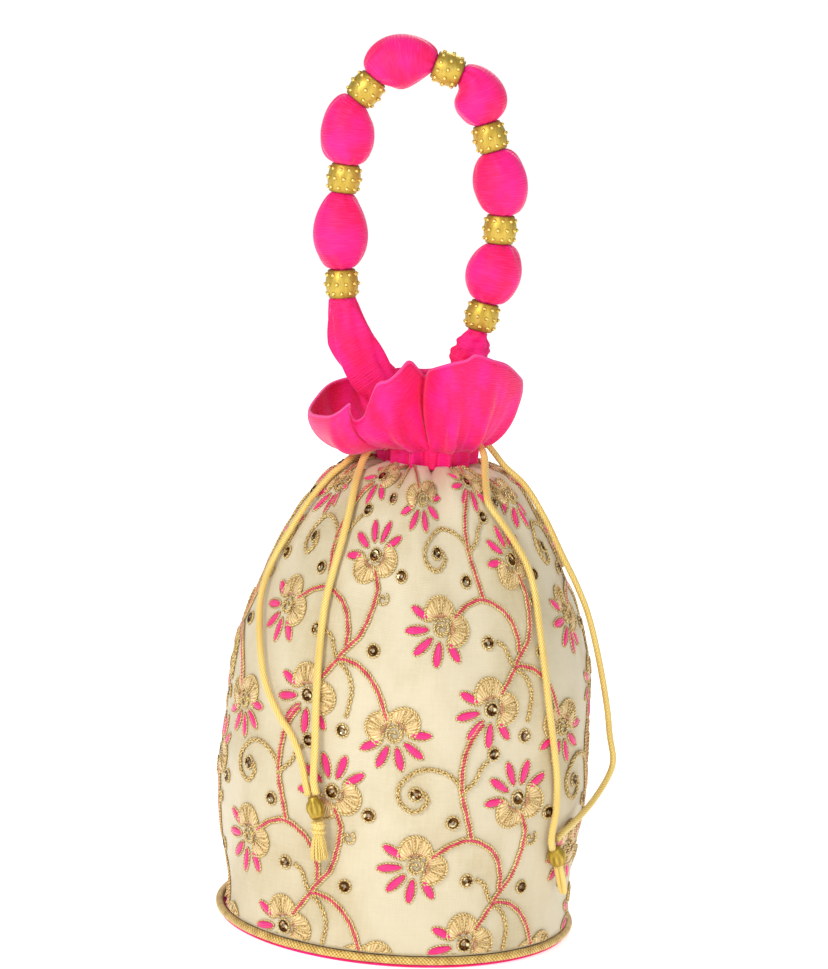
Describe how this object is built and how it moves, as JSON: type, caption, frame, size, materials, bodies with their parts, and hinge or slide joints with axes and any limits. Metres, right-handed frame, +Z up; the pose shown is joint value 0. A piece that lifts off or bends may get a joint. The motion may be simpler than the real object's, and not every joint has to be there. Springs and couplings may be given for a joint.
{
  "type": "potli bag",
  "caption": "Round-based gathered drawstring pouch with a frilled neck, two hanging cords with end beads, and a stuffed fabric loop handle strung with turning studded beads.",
  "frame": {"origin": "centre of the round base, on its underside", "axes": "+Z up through the neck, -Y out of the embroidered front, +X to the right as seen from the front"},
  "size_m": [0.1528, 0.1421, 0.3443],
  "materials": {
    "cream_satin": "satin ground, embroidered",
    "lining_cotton": "matt",
    "pink_silk": "soft sheen",
    "grey_card": "matt board",
    "gold_tissue": "metallic weave",
    "gold_satin": "glossy satin",
    "gold_thread": "metallic thread",
    "antique_gold": "satin antique plating",
    "white_fibre": "loose wadding"
  },
  "bodies": {
    "bag": {"outer_shell": "cream_satin", "lining": "lining_cotton", "base_panel": "pink_silk", "base_board": "grey_card", "base_piping": "gold_tissue", "frill_collar": "pink_silk", "handle_sleeve": "pink_silk", "handle_filling_1": "white_fibre", "handle_filling_2": "white_fibre", "handle_filling_3": "white_fibre", "handle_filling_4": "white_fibre", "handle_filling_5": "white_fibre", "handle_filling_6": "white_fibre", "left_drawstring_outer": "gold_satin", "left_drawstring_inner": "gold_satin", "right_drawstring_outer": "gold_satin", "right_drawstring_inner": "gold_satin", "left_drawstring_in_casing": "gold_satin", "right_drawstring_in_casing": "gold_satin", "left_end_bead": "antique_gold", "right_end_bead": "antique_gold", "left_tassel": "gold_thread", "right_tail": "gold_satin"},
    "bead_1": {"handle_bead_1": "antique_gold"},
    "bead_2": {"handle_bead_2": "antique_gold"},
    "bead_3": {"handle_bead_3": "antique_gold"},
    "bead_4": {"handle_bead_4": "antique_gold"},
    "bead_5": {"handle_bead_5": "antique_gold"},
    "bead_6": {"handle_bead_6": "antique_gold"},
    "bead_7": {"handle_bead_7": "antique_gold"}
  },
  "joints": [
    {"name": "bead_1_turn", "type": "hinge", "parent": "bag", "child": "bead_1", "pos_m": [-0.0366, 0, 0.2478], "axis": [-0.1045, 0, 0.9945], "continuous": true},
    {"name": "bead_2_turn", "type": "hinge", "parent": "bag", "child": "bead_2", "pos_m": [-0.0384, 0, 0.2879], "axis": [0.0523, 0, 0.9986], "continuous": true},
    {"name": "bead_3_turn", "type": "hinge", "parent": "bag", "child": "bead_3", "pos_m": [-0.0324, 0, 0.322], "axis": [0.5592, 0, 0.829], "continuous": true},
    {"name": "bead_4_turn", "type": "hinge", "parent": "bag", "child": "bead_4", "pos_m": [-0.0019, 0, 0.3317], "axis": [0.9511, 0, -0.309], "continuous": true},
    {"name": "bead_5_turn", "type": "hinge", "parent": "bag", "child": "bead_5", "pos_m": [0.0158, 0, 0.3072], "axis": [0.342, 0, -0.9397], "continuous": true},
    {"name": "bead_6_turn", "type": "hinge", "parent": "bag", "child": "bead_6", "pos_m": [0.0221, 0, 0.2726], "axis": [0, 0, -1], "continuous": true},
    {"name": "bead_7_turn", "type": "hinge", "parent": "bag", "child": "bead_7", "pos_m": [0.0176, 0, 0.239], "axis": [-0.1908, 0, -0.9816], "continuous": true}
  ]
}
